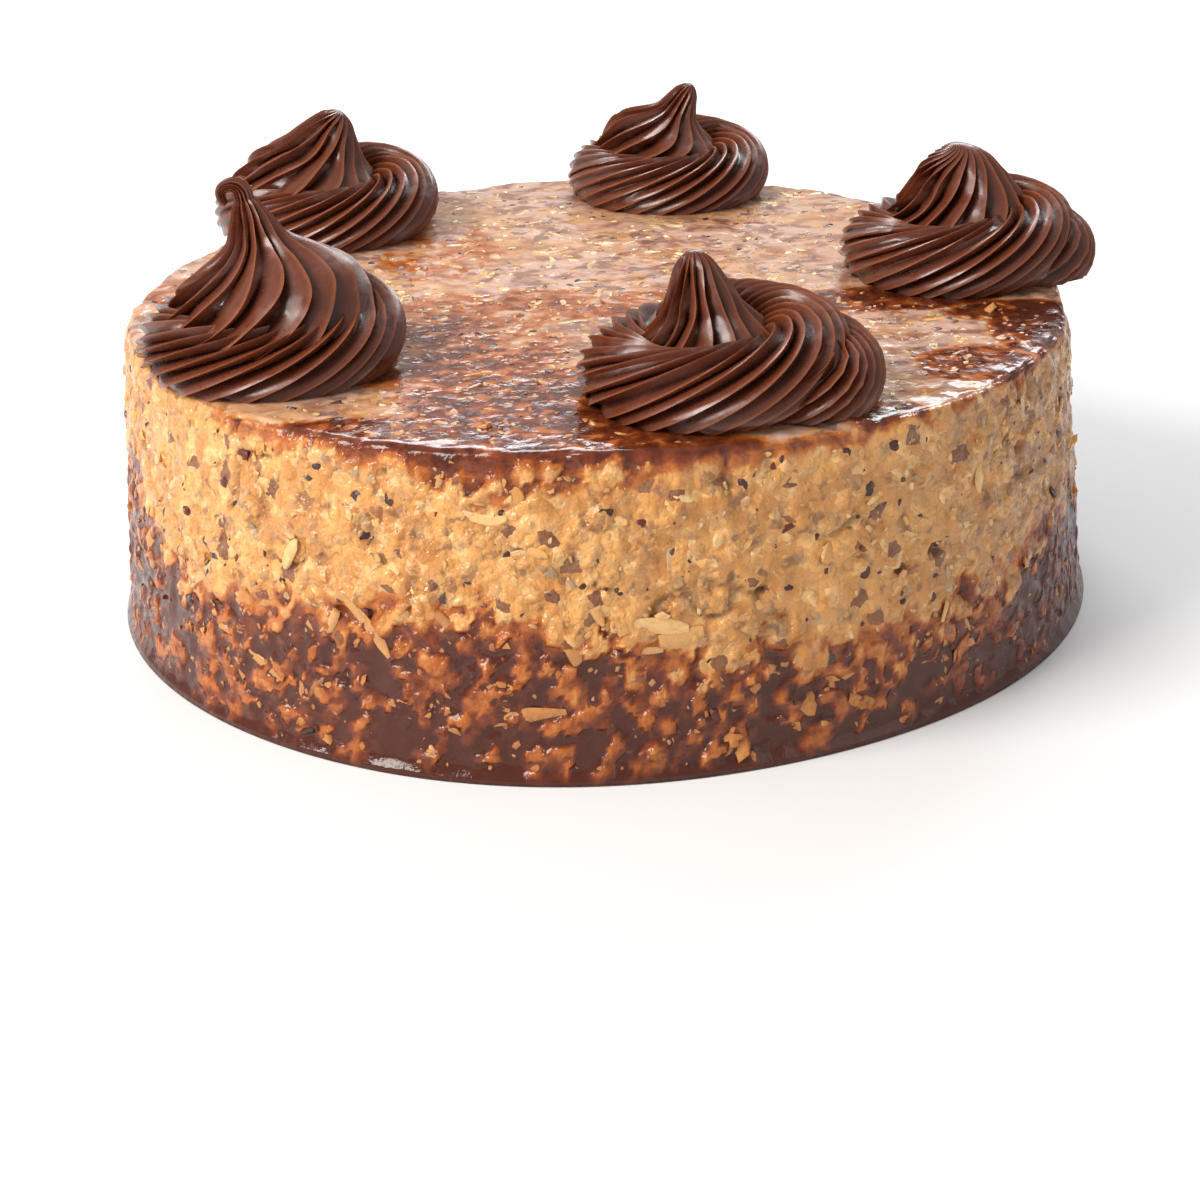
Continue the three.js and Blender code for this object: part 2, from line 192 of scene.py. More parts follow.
# The pecans' skins, each with its share of the bits
PECANS = (
    ((0.045, 0.018, 0.018), 0.36), ((0.11, 0.022, 0.013), 0.3),
    ((0.065, 0.040, 0.036), 0.22), ((0.17, 0.06, 0.025), 0.12),
)
NUT_FLESH = (0.13, 0.042, 0.022)
GROOVE_SHADE = (0.030, 0.0075, 0.004)  # the piped cream: painted shade in its grooves, then its own colour, then painted warm light on its crests
CREAM = (0.115, 0.028, 0.012)
CREST_GLOW = (0.215, 0.059, 0.021)
CREAM_BLOTCH = (0.155, 0.042, 0.018)


# ---- Helpers ----

def smooth(share):
    """0 at or below 0, 1 at or above 1, and a smooth rise between."""
    x = np.clip(share, 0, 1)
    return x * x * (3 - 2 * x)


def hashed(x, y, z, seed):
    """A number from 0 to 1 for each whole-number place, the same on every run."""
    h = (x * 374761393 + y * 668265263 + z * 1274126177 + seed * 1442695041) & 0xFFFFFFFF
    h = ((h ^ (h >> 13)) * 1103515245) & 0xFFFFFFFF
    h = ((h ^ (h >> 15)) * 668265263) & 0xFFFFFFFF
    return ((h ^ (h >> 16)) & 0xFFFF) / 65535.0


def noise(points, size, seed):
    """Smooth noise from -1 to 1 whose lumps measure about the given size."""
    place = points / size
    cell = np.floor(place).astype(np.int64)
    part = place - cell
    part = part * part * (3 - 2 * part)
    total = np.zeros(len(points))
    for corner in range(8):
        dx, dy, dz = corner & 1, corner >> 1 & 1, corner >> 2
        weight = (part[:, 0] if dx else 1 - part[:, 0]) * (part[:, 1] if dy else 1 - part[:, 1])
        weight = weight * (part[:, 2] if dz else 1 - part[:, 2])
        total += weight * hashed(cell[:, 0] + dx, cell[:, 1] + dy, cell[:, 2] + dz, seed)
    return 2 * total - 1


def layered(points, layers):
    """The sum of layers of noise, each given by its height, the size of its lumps and its seed."""
    return sum(height * noise(points, size, seed) for height, size, seed in layers)


def new_mesh_object(name, points, triangles, smooth_angle=None):
    """A mesh object from points in millimetres. Edges sharper than smooth_angle degrees stay hard."""
    mesh = bpy.data.meshes.new(name)
    mesh.vertices.add(len(points))
    mesh.vertices.foreach_set("co", (points * MM).astype(np.float32).ravel())
    mesh.loops.add(triangles.size)
    mesh.loops.foreach_set("vertex_index", triangles.astype(np.int32).ravel())
    mesh.polygons.add(len(triangles))
    mesh.polygons.foreach_set("loop_start", np.arange(0, triangles.size, 3, dtype=np.int32))
    mesh.update(calc_edges=True)
    mesh.polygons.foreach_set("use_smooth", np.ones(len(triangles), bool))
    if smooth_angle is not None:
        mesh.set_sharp_from_angle(angle=math.radians(smooth_angle))
    piece = bpy.data.objects.new(name, mesh)
    bpy.context.scene.collection.objects.link(piece)
    return piece


def add_point_value(piece, name, values):
    """A number at each point of the piece, which its material reads by name."""
    attribute = piece.data.attributes.new(name, "FLOAT", "POINT")
    attribute.data.foreach_set("value", np.asarray(values, dtype=np.float32))


def add_tint(piece, colours):
    """A colour for each of the piece's shapes, which its material reads as its tint."""
    colours = np.repeat(colours, len(piece.data.vertices) // len(colours), axis=0)
    attribute = piece.data.attributes.new("tint", "FLOAT_COLOR", "POINT")
    with_alpha = np.concatenate([colours, np.ones((len(colours), 1))], axis=1)
    attribute.data.foreach_set("color", with_alpha.astype(np.float32).ravel())


# ---- Where the chocolate is ----

def near_bearing(bearing, middle, width):
    """1 at a bearing, and falling off on both sides of it over a width in degrees."""
    off = (bearing - middle + 180) % 360 - 180
    return np.exp(-((off / width) ** 2))


def chocolate_at(points):
    """How thick the chocolate lies at each point, from 0 for none to 1."""
    bearing = np.degrees(np.arctan2(points[:, 1], points[:, 0]))
    height = points[:, 2]
    on_top = smooth((height - CAKE_HEIGHT + RIM_ROUNDING) / RIM_ROUNDING)
    ragged = layered(points, FILM_RAGGED)
    edge = FILM_HEIGHT + FILM_SWAY * np.sin(np.radians(2 * bearing + 40)) + ragged
    for middle, width, rise in FILM_RISES:
        edge += rise * near_bearing(bearing, middle, width)
    foot = smooth((FOOT_FILM - height) / FOOT_FILM_FADE)
    film = np.maximum(smooth((edge - height) / FILM_FADE + 0.5), foot)
    drip = DRIP_DEPTH * near_bearing(bearing, DRIP_BEARING, DRIP_WIDTH) - DRIP_SHORT + 0.5 * ragged
    drip = DRIP_THICKNESS * smooth((drip - (CAKE_HEIGHT - height)) / DRIP_FADE + 0.5)
    side = np.maximum(film, drip * (bearing < 0))
    top = np.zeros(len(points))
    for x, y, half_width, half_depth, strength in SMEARS:
        reach = ((points[:, 0] - x) / half_width) ** 2 + ((points[:, 1] - y) / half_depth) ** 2
        top = np.maximum(top, strength * smooth(SMEAR_EDGE - reach))
    streaks = sum(strength * noise(points * (1, longer, 1), size, seed)
                  for strength, longer, size, seed in STREAKS)
    top = TOP_THICKNESS * smooth(top + streaks * (0.35 + top) + 0.06)
    return side * (1 - on_top) + top * on_top


# ---- The body ----

def side_radius(angle, height):
    """How far the side is from the cake's axis, at an angle in radians and a height."""
    share = height / CAKE_HEIGHT
    radius = BASE_RADIUS + (TOP_RADIUS - BASE_RADIUS) * share
    for waves, depth, phase in OUTLINE_WAVES:
        radius = radius + depth * np.sin(waves * angle + phase + OUTLINE_TWIST * share)
    return radius


def side_place(angle, height):
    """The point on the side at an angle and a height, and the way that the side faces there."""
    radius = side_radius(angle, height)
    slope = math.atan2(BASE_RADIUS - TOP_RADIUS, CAKE_HEIGHT)
    point = np.stack([radius * np.cos(angle), radius * np.sin(angle), height + 0 * radius], -1)
    face = np.stack([
        math.cos(slope) * np.cos(angle), math.cos(slope) * np.sin(angle), math.sin(slope) + 0 * radius,
    ], -1)
    return point, face


def crack_at(points):
    """1 along the cracks between lumps of paste, and 0 away from them."""
    line = 1 - smooth(np.abs(noise(points, 7.5, 6)) / CRACK_WIDTH)
    return line * smooth(3 * noise(points, 13.0, 7))


def paste_relief(points):
    """How far the paste stands out of the plain outline: lumps that the spatula leaves, and grain.

    The chocolate evens them out.
    """
    lumps = layered(points, LUMPS)
    grain = layered(points, GRAIN)
    lumps = lumps - CRACK_DEPTH * crack_at(points)
    on_top = smooth((points[:, 2] - CAKE_HEIGHT + 1.5) / 1.5)
    scraped = layered(points, SCRAPED)
    chocolate = chocolate_at(points)
    side = lumps * (1 - 0.45 * chocolate) + grain * (1 - 0.85 * chocolate)
    near_rim = smooth((np.hypot(points[:, 0], points[:, 1]) - RIM_START) / RIM_REACH)
    top = scraped * (1 - 0.6 * chocolate) * (1 - near_rim) + RIM_LUMPS * side * near_rim
    return side * (1 - on_top) + top * on_top


def body_rings():
    """Rings of points up the side, over the rim and in over the top, and their outward directions."""
    angle = 2 * math.pi * np.arange(COLUMNS) / COLUMNS
    rings, faces = [], []
    straight = CAKE_HEIGHT - RIM_ROUNDING
    for height in np.linspace(0, straight, int(straight / GRID_STEP) + 1):
        point, face = side_place(angle, np.full(COLUMNS, height))
        spread = FOOT_SPREAD * (1 - smooth(height / FOOT_HEIGHT))
        rings.append(point + face * (1, 1, 0) * spread)
        faces.append(face)
    for turn in np.radians(np.linspace(*RIM_TURNS)):
        point, face = side_place(angle, np.full(COLUMNS, straight))
        outward = face * (1, 1, 0)
        moved = point - outward * RIM_ROUNDING * (1 - math.cos(turn))
        rings.append(moved + np.array([0, 0, RIM_ROUNDING * math.sin(turn)]))
        faces.append(outward * math.cos(turn) + np.array([0, 0, math.sin(turn)]))
    edge = rings[-1]
    count = COLUMNS
    radius = TOP_RADIUS - RIM_ROUNDING
    step = GRID_STEP
    for inner in THINNING_RADII:
        while radius - step > inner:
            radius -= step
            every = COLUMNS // count
            share = radius / (TOP_RADIUS - RIM_ROUNDING)
            ring = edge[::every] * (share, share, 1)
            rings.append(ring)
            faces.append(np.tile([0.0, 0.0, 1.0], (len(ring), 1)))
        count //= 2
        step *= STEP_GROWTH
    return rings, faces


def stitched(rings):
    """Triangles between rings, each with as many points as the one before or half, closed at both ends.

    The last two points, which aren't in a ring, close the first ring and the last one.
    """
    starts = np.cumsum([0] + [len(ring) for ring in rings])
    triangles = []
    for number in range(len(rings) - 1):
        lower = starts[number] + np.arange(len(rings[number]))
        upper = starts[number + 1] + np.arange(len(rings[number + 1]))
        after = np.roll(upper, -1)
        if len(lower) == len(upper):
            following = np.roll(lower, -1)
            triangles.append(np.stack([lower, following, after], -1))
            triangles.append(np.stack([lower, after, upper], -1))
        else:
            even, odd, following = lower[::2], lower[1::2], np.roll(lower[::2], -1)
            triangles.append(np.stack([even, odd, upper], -1))
            triangles.append(np.stack([odd, following, after], -1))
            triangles.append(np.stack([odd, after, upper], -1))
    first = np.arange(len(rings[0]))
    last = starts[-2] + np.arange(len(rings[-1]))
    foot, crown = starts[-1], starts[-1] + 1
    triangles.append(np.stack([np.full(len(first), foot), np.roll(first, -1), first], -1))
    triangles.append(np.stack([np.full(len(last), crown), last, np.roll(last, -1)], -1))
    return np.concatenate(triangles)


def nearest_topping(points, toppings):
    """How far each point is from the nearest topping, and that topping's size."""
    tree = KDTree(len(toppings))
    for number, topping in enumerate(toppings):
        tree.insert(topping[:3], number)
    tree.balance()
    gap = np.empty(len(points))
    size = np.empty(len(points))
    for number, point in enumerate(points):
        _, nearest, gap[number] = tree.find(point)
        size[number] = toppings[nearest][3]
    return gap, size


def make_body(toppings, random):
    """The frosting. It swells over each topping that is sunk in it, and has small holes, with painted
    shade in them and along the cracks between its lumps.
    """
    rings, faces = body_rings()
    points = np.concatenate(rings)
    outward = np.concatenate(faces)
    lift = paste_relief(points)
    chocolate = chocolate_at(points)
    gap, size = nearest_topping(points, toppings)
    # the chocolate lies thinner on lumps, and thinner still over the larger toppings
    chocolate = chocolate - 0.24 * lift * (chocolate > 0.03)
    over = np.exp(-((gap / (0.55 * size + 0.4)) ** 2))
    on_top = smooth((points[:, 2] - CAKE_HEIGHT + 1.2) / 1.0)
    lift += (0.34 + 0.11 * np.minimum(size, 4.0)) * (1 - 0.8 * on_top) * over
    seen_through = np.exp(-((gap / (0.62 * size + 0.9)) ** 2)) * smooth((size - 2.0) / 1.6)
    seen_through *= 1 - 0.45 * on_top
    chocolate = np.clip(chocolate - 0.66 * seen_through * (chocolate > 0.05), 0, 1)
    hole_angle = random.uniform(0, 2 * math.pi, PITS)
    hole_height = random.uniform(26, CAKE_HEIGHT - 5, PITS)
    hole_radius = random.uniform(0.8, 1.9, PITS)
    holes, _ = side_place(hole_angle, hole_height)
    # dark is painted shade along the cracks between lumps and inside the small holes
    dark = 0.55 * crack_at(points) * (points[:, 2] < CAKE_HEIGHT - RIM_ROUNDING) * (1 - chocolate)
    for hole, radius in zip(holes, hole_radius):
        near = smooth(1.5 - np.linalg.norm((points - hole) * (1, 1, 1.3), axis=1) / radius)
        lift -= HOLLOW_DEPTH * radius * near
        dark = np.maximum(dark, near ** 2)
    lift[points[:, 2] < 0.1] = 0
    low = points[:, 2] < FOOT_HEIGHT
    lift[low] *= points[low, 2] / FOOT_HEIGHT
    points = points + outward * lift[:, None]
    ends = np.array([[0, 0, 0], [0, 0, CAKE_HEIGHT]])
    body = new_mesh_object("frosting", np.concatenate([points, ends]), stitched(rings))
    add_point_value(body, "chocolate", np.concatenate([chocolate, [0, 0]]))
    add_point_value(body, "hollow_shade", np.concatenate([dark, [0, 0]]))
    add_point_value(body, "top", np.concatenate([on_top, [0, 1]]))
    return body


# ---- Toppings ----

def outside_rosettes(points, margin):
    """Which points are at least a margin away from every rosette."""
    clear = np.ones(len(points), bool)
    for sizes in ROSETTES.values():
        away = np.hypot(points[:, 0] - sizes["centre"][0], points[:, 1] - sizes["centre"][1])
        clear &= away > sizes["radius"] + margin
    return clear


def scattered(length, random, side_share, margin):
    """Places on the side and the top for toppings of these lengths, and the way that the cake faces.

    All stay clear of the foot, the rim and the rosettes, so the last result says which length belongs
    to which place.
    """
    count = len(length)
    on_side = int(count * side_share)
    half = 0.5 * length
    angle = random.uniform(0, 2 * math.pi, on_side)
    lowest = half[:on_side] + FLOOR_GAP
    highest = CAKE_HEIGHT - RIM_ROUNDING - 0.8 * half[:on_side]
    side, side_faces = side_place(angle, random.uniform(lowest, highest))
    tries = TRIES * (count - on_side)
    half = np.tile(half[on_side:], TRIES)
    angle = random.uniform(0, 2 * math.pi, tries)
    radius = (TOP_RADIUS - RIM_ROUNDING - 0.9 * half) * np.sqrt(random.uniform(0, 1, tries))
    top = np.stack([radius * np.cos(angle), radius * np.sin(angle), np.full(tries, CAKE_HEIGHT)], -1)
    chosen = np.flatnonzero(outside_rosettes(top, margin))[:count - on_side]
    points = np.concatenate([side, top[chosen]])
    faces = np.concatenate([side_faces, np.tile([0.0, 0.0, 1.0], (len(chosen), 1))])
    points = points + faces * paste_relief(points)[:, None]
    return points, faces, np.concatenate([np.arange(on_side), on_side + chosen % (count - on_side)])


def frames_on(faces, random, tilt):
    """For each place three directions: along the topping, across it, and out of the cake."""
    count = len(faces)
    out = faces + tilt * random.standard_normal((count, 3))
    out /= np.linalg.norm(out, axis=1)[:, None]
    along = np.cross(out, random.standard_normal((count, 3)))
    along /= np.linalg.norm(along, axis=1)[:, None]
    return along, np.cross(out, along), out


def placed(shapes, points, along, across, out):
    """Moves each shape's points (count, points, 3) to its place."""
    moved = points[:, None, :] + shapes[:, :, 0:1] * along[:, None, :]
    return moved + shapes[:, :, 1:2] * across[:, None, :] + shapes[:, :, 2:3] * out[:, None, :]


def new_mesh_of_shapes(name, shapes, triangles, smooth_angle):
    """One mesh object from many shapes (count, points, 3) that all have the same triangles."""
    count, each = shapes.shape[:2]
    triangles = triangles[None] + (np.arange(count) * each)[:, None, None]
    return new_mesh_object(name, shapes.reshape(-1, 3), triangles.reshape(-1, 3), smooth_angle)


def coat(points, plain, coated, random):
    """A colour for each topping: its own, or darker where it lies in the chocolate."""
    share = np.clip(chocolate_at(points) * 1.15, 0, 1) * random.uniform(0.65, 1.0, len(points))
    return plain * (1 - share[:, None]) + coated * share[:, None]


def strip_shapes(length, width, thickness, random):
    """Curled flat strips with ragged ends: a flat six-cornered section at each of six stations."""
    count, stations = len(length), 6
    along = np.linspace(-0.5, 0.5, stations)
    ring = np.array([(-1, 0), (-0.6, 0.5), (0.6, 0.5), (1, 0), (0.6, -0.5), (-0.6, -0.5)])
    corners = len(ring)
    taper = 1 - random.uniform(0.2, 0.7, (count, 1)) * np.abs(along[None, :] * 2) ** 3
    half = 0.5 * width[:, None] * taper * random.uniform(0.85, 1.1, (count, stations))
    curl = random.uniform(-0.12, 0.12, (count, 1)) * (along[None, :] * 2) ** 2 * length[:, None]
    lift = random.uniform(-0.05, 0.03, (count, 1)) * (along[None, :] * 2) ** 2 * length[:, None]
    twist = random.uniform(-0.5, 0.5, (count, 1)) * along[None, :]
    y, z = ring[None, None, :, 0] * half[:, :, None], ring[None, None, :, 1] * thickness[:, None, None]
    z = z * (0.6 + 0.4 * taper[:, :, None])
    turned_y = y * np.cos(twist)[:, :, None] - z * np.sin(twist)[:, :, None] + curl[:, :, None]
    turned_z = y * np.sin(twist)[:, :, None] + z * np.cos(twist)[:, :, None] + lift[:, :, None]
    x = np.broadcast_to((along[None, :] * length[:, None])[:, :, None], turned_y.shape)
    shapes = np.stack([x, turned_y, turned_z], -1).reshape(count, stations * corners, 3)
    faces = []
    for station in range(stations - 1):
        for side in range(corners):
            a, b = station * corners + side, station * corners + (side + 1) % corners
            faces += [(a, a + corners, b + corners), (a, b + corners, b)]
    last = (stations - 1) * corners
    for side in range(1, corners - 1):
        faces += [(0, side, side + 1), (last, last + side + 1, last + side)]
    return shapes, np.array(faces)


def lump_shapes(count, random, level, roughness):
    """Lopsided angular lumps of unit size."""
    source = bpy.data.meshes.new("lump")
    built = bmesh.new()
    bmesh.ops.create_icosphere(built, subdivisions=level, radius=0.5)
    built.to_mesh(source)
    built.free()
    ball = np.array([tuple(vertex.co) for vertex in source.vertices])
    faces = np.array([tuple(polygon.vertices) for polygon in source.polygons])
    bpy.data.meshes.remove(source)
    shapes = np.tile(ball, (count, 1, 1))
    for _ in range(3):  # three random planes cut each lump flat
        way = random.standard_normal((count, 3))
        way /= np.linalg.norm(way, axis=1)[:, None]
        reach = np.einsum("npk,nk->np", shapes, way)
        cut = random.uniform(0.2, 0.38, (count, 1))
        shapes -= np.maximum(reach - cut, 0)[:, :, None] * way[:, None, :]
    shapes *= 1 + roughness * random.standard_normal(shapes.shape[:2])[:, :, None]
    return shapes, faces


def lumps_on(name, points, faces, size, random, level, roughness, stretch, sunk, uneven, tilt,
             smooth_angle):
    """Lumps of these sizes. sunk says how high they stand: on the top, and on the side."""
    count = len(points)
    shapes, triangles = lump_shapes(count, random, level, roughness)
    stretch = np.stack([random.uniform(least, most, count) for least, most in stretch], -1)
    shapes = shapes * (size[:, None] * stretch)[:, None, :]
    thick = size * stretch[:, 2]
    depth = np.where(faces[:, 2] > 0.9, *sunk) - 0.5 * thick + random.uniform(*uneven, count)
    along, across, out = frames_on(faces, random, tilt)
    whole = placed(shapes, points + out * depth[:, None], along, across, out)
    return new_mesh_of_shapes(name, whole, triangles, smooth_angle)


def make_flakes(random):
    """The coconut flakes, and places along them with their widths."""
    length = random.gamma(6.0, 1.15, FLAKE_COUNT).clip(3.5, 16)
    points, faces, order = scattered(length, random, 0.6, 2.0)
    length = length[order]
    count = len(points)
    width = random.uniform(1.3, 2.9, count)
    thickness = random.uniform(0.5, 0.9, count)
    on_top = faces[:, 2] > 0.9
    sunk = np.where(on_top, -0.25, -0.1) - 0.12 * chocolate_at(points)
    sunk += random.uniform(-0.25, 0.15, count)
    along, across, out = frames_on(faces, random, 0.05)
    for number, (bearing, height, long, wide, slope) in enumerate(LARGE_FLAKES):
        points[number], faces[number] = side_place(math.radians(bearing), height)
        length[number], width[number], sunk[number] = long, wide, 0.25
        out[number] = faces[number]
        level = np.array([-math.sin(math.radians(bearing)), math.cos(math.radians(bearing)), 0])
        upright = np.cross(out[number], level)
        along[number] = level * math.cos(math.radians(slope)) + upright * math.sin(math.radians(slope))
        across[number] = np.cross(out[number], along[number])
    shapes, triangles = strip_shapes(length, width, thickness, random)
    whole = placed(shapes, points + out * sunk[:, None], along, across, out)
    piece = new_mesh_of_shapes("coconut_flakes", whole, triangles, 42)
    pale, gold, grey = np.array(FLAKES)
    kind = random.uniform(0, 1, (count, 1))
    plain = np.where(kind < 0.35, pale, np.where(kind < 0.7, gold, grey))
    plain = plain * random.uniform(0.85, 1.12, (count, 1))
    plain[:len(LARGE_FLAKES)] = pale
    add_tint(piece, coat(points, plain, np.array(COATED_FLAKE), random))
    spread = [points + along * length[:, None] * share for share in (-0.3, 0, 0.3)]
    toppings = np.concatenate([np.column_stack([place, width]) for place in spread])
    return piece, toppings


def make_chips(random):
    """The coconut chips, and their places and sizes."""
    size = random.gamma(3.6, 0.72, CHIP_COUNT).clip(0.9, 6.4)
    points, faces, order = scattered(size, random, 0.64, 1.0)
    size = size[order]
    count = len(points)
    size *= 1 + GROWTH_IN_FILM * chocolate_at(points) * (faces[:, 2] < 0.9)
    points[:, 2] = np.maximum(points[:, 2], 0.75 * size + FLOOR_GAP)
    piece = lumps_on("coconut_chips", points, faces, size, random, level=1, roughness=0.08,
                     stretch=((0.9, 1.5), (0.6, 1.0), (0.32, 0.6)), sunk=(0.16, 0.5),
                     uneven=(-0.15, 0.3), tilt=0.18, smooth_angle=50)
    pale, gold, grey = np.array(CHIPS)
    plain = gold + (pale - gold) * random.uniform(0, 1, (count, 1)) ** 1.5
    plain = np.where(random.uniform(0, 1, (count, 1)) < 0.24, grey, plain)
    add_tint(piece, coat(points, plain, np.array(COATED_CHIP), random))
    return piece, np.column_stack([points, size])


def make_pecans(random):
    """The pecan bits, and their places and sizes."""
    size = random.gamma(5.5, 0.62, PECAN_COUNT).clip(1.4, 7.5)
    points, faces, order = scattered(size, random, 0.7, 2.0)
    size = size[order]
    count = len(points)
    for number, (bearing, height, across) in enumerate(LARGE_NUTS):
        points[number], faces[number] = side_place(math.radians(bearing), height)
        size[number] = across
    piece = lumps_on("pecan_bits", points, faces, size, random, level=2, roughness=0.05,
                     stretch=((0.9, 1.4), (0.65, 1.0), (0.45, 0.7)), sunk=(0.15, 0.42),
                     uneven=(-0.1, 0.25), tilt=0.15, smooth_angle=38)
    kinds, shares = np.array([colour for colour, _ in PECANS]), [share for _, share in PECANS]
    plain = kinds[random.choice(len(kinds), count, p=shares)] * random.uniform(0.8, 1.25, (count, 1))
    add_tint(piece, plain)
    return piece, np.column_stack([points, size])


# ---- Rosettes ----

def laid_rope(sizes):
    """The rope, from its free end round the ring and on over its own first turn.

    Gives its middle, its radius, the nozzle's turn and the share of the grooves' depth at each step.
    """
    turn = np.linspace(0, sizes["turns"], int(sizes["turns"] * STEPS_PER_TURN))
    rope = sizes["rope"]
    outer = sizes["radius"] - rope
    reach = outer + (sizes["inner"] - outer) * smooth((turn - LAP_START) / 1.1)
    under = 1 - smooth(turn / 0.1)
    reach += sizes["tail"] * (1 - smooth(turn / 0.5)) * (1 - under) - 0.55 * rope * under
    height = rope * ROPE_SINK + sizes["climb"] * smooth((turn - CLIMB_START) / 0.5)
    bearing = math.radians(sizes["start"]) + 2 * math.pi * turn
    middle = np.stack([reach * np.cos(bearing), reach * np.sin(bearing), height], -1)
    free_end = np.clip(turn / 0.08, 0, 1)
    radius = rope * (0.35 + 0.65 * np.sqrt(1 - (1 - free_end) ** 2))
    radius *= 1 - 0.5 * smooth((turn - sizes["turns"]) / 0.3 + 1)
    spin = WRIST_TURN * 2 * math.pi * turn + 0.3 * sizes["tail"] * smooth(turn / 0.3)
    place, share = sizes["calm"]
    calm = share * near_bearing(np.degrees(bearing), place, CALM_WIDTH) * (turn < 1.1)
    return middle, radius, spin, 1 - calm


def drawn_peak(sizes):
    """The peak, from its foot inside the ring up to the drawn-out tip, given as the rope is."""
    near_tip, growth, flare, flare_from, flare_to = sizes["outline"]
    rise, hook = sizes["peak"] - PEAK_FOOT, sizes["hook"]
    height = PEAK_FOOT + rise * (1 - (1 - np.linspace(0, 1, PEAK_STEPS)) ** 1.25)
    depth = sizes["peak"] - height
    radius = near_tip + growth * depth + flare * smooth((depth - flare_from) / (flare_to - flare_from))
    radius *= np.sqrt(1 - (1 - np.clip(depth / sizes["blunt"], 0.002, 1)) ** 2)
    rolled_under = np.clip((height - PEAK_FOOT) / 3.0, 0, 1)
    radius *= 0.72 + 0.28 * np.sqrt(1 - (1 - rolled_under) ** 2)
    share = (height - PEAK_FOOT) / rise
    axis, lean = np.array(sizes["axis"]), np.array(sizes["lean"])
    moved = (0.35 * share + 0.65 * share ** 2)[:, None]
    middle = np.column_stack([axis + (lean - axis) * moved, height])
    spin = math.radians(sizes["swirl"]) * (1 - share) ** 2
    spin -= math.radians(sizes["eye"]) * np.exp(-depth / 1.8)
    if hook > 0:  # the tip curls over towards -X
        turned = np.radians(np.linspace(0, HOOK_TURN, HOOK_STEPS))[1:]
        curl = np.stack([-hook * (1 - np.cos(turned)), 0 * turned, hook * np.sin(turned)], -1)
        middle = np.concatenate([middle, middle[-1] + curl])
        narrowing = np.linspace(near_tip, HOOK_END, len(turned))
        radius = np.concatenate([np.maximum(radius, near_tip), narrowing])
        spin = np.concatenate([spin, np.full(len(turned), spin[-1])])
    deep = 0.35 + 0.65 * smooth((sizes["peak"] - middle[:, 2]) / sizes["blunt"])
    return middle, radius, spin, np.where(hook > 0, 1.0, deep)


def fluted_tube(line, radius, spin, deep, soft, random):
    """A tube through a star nozzle that stays upright, so that a tooth keeps its bearing.

    Gives its points, its triangles, and how near each point is to a ridge's crest.
    """
    heading = np.gradient(line, axis=0)
    window = np.hanning(9)[1:-1] / np.hanning(9).sum()
    padded = np.pad(heading, ((3, 3), (0, 0)), mode="edge")
    heading = np.stack([np.convolve(padded[:, k], window, mode="valid") for k in range(3)], -1)
    heading /= np.linalg.norm(heading, axis=1)[:, None]
    around = TEETH * POINTS_PER_TOOTH
    corner = np.arange(around)
    step = corner % POINTS_PER_TOOTH
    before, after = CREST, POINTS_PER_TOOTH - CREST
    rising = step <= CREST
    crisp = np.where(rising, (step / before) ** 1.1, ((POINTS_PER_TOOTH - step) / after) ** 0.9)
    lean = np.where(rising, 0.5 * step / before, 1 - 0.5 * (POINTS_PER_TOOTH - step) / after)
    wave = 0.5 - 0.5 * np.cos(2 * math.pi * lean)
    profile = crisp + soft * (wave - crisp)
    tooth = corner // POINTS_PER_TOOTH
    along = np.arange(len(line))[:, None] / STEPS_PER_TURN
    phase = 2 * math.pi * random.uniform(0, 1, TEETH)[tooth][None, :]
    uneven = 1 + 0.12 * random.standard_normal(TEETH)[tooth][None, :]
    depth = np.minimum(RIDGE_DEPTH, DEEPEST_GROOVE / radius)[:, None] * uneven * deep[:, None]
    depth = depth * (1 + 0.14 * np.sin(along * 13 + phase) + 0.08 * np.sin(along * 31 + 2.3 * phase))
    section = radius[:, None] * (1 - depth * (1 - profile[None, :]))
    wander = 0.05 * np.sin(along * 9 + phase)
    bearing = corner[None, :] / around * 2 * math.pi - spin[:, None] + wander
    x, y = np.cos(bearing), np.sin(bearing)
    ahead = x * heading[:, 0:1] + y * heading[:, 1:2]
    tilt = ahead / (1 + heading[:, 2:3])
    squash = ROPE_SQUASH + (1 - ROPE_SQUASH) * np.clip(heading[:, 2:3], 0, 1)
    points = np.stack([
        line[:, 0:1] + section * (x - tilt * heading[:, 0:1]),
        line[:, 1:2] + section * (y - tilt * heading[:, 1:2]),
        line[:, 2:3] - section * squash * ahead,
    ], -1)
    points[:, :, 2] = np.maximum(points[:, :, 2], -0.3)
    whole = points.reshape(-1, 3)
    whole = whole + 0.14 * noise(whole, 4.0, 31)[:, None] * (1, 1, 0.6)
    ends = np.array([whole[:around].mean(0), whole[-around:].mean(0)])
    ridge = np.concatenate([np.broadcast_to(profile[None, :], section.shape).ravel(), [0.5, 0.5]])
    return np.concatenate([whole, ends]), stitched(list(points)), ridge


def make_rosette(name, sizes, random):
    """A rope laid in a ring that laps itself, and the peak that the nozzle draws up from its middle."""
    ring, ring_faces, ring_ridge = fluted_tube(*laid_rope(sizes), sizes["soft"], random)
    peak, peak_faces, peak_ridge = fluted_tube(*drawn_peak(sizes), 0.5 * sizes["soft"], random)
    place = np.array([sizes["centre"][0], sizes["centre"][1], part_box(name)[0].z / MM])
    piece = new_mesh_object("piped_" + name, np.concatenate([ring, peak]) + place,
                            np.concatenate([ring_faces, peak_faces + len(ring)]), 48)
    add_point_value(piece, "ridge", np.concatenate([ring_ridge, peak_ridge]))
    return piece


# ---- Materials ----

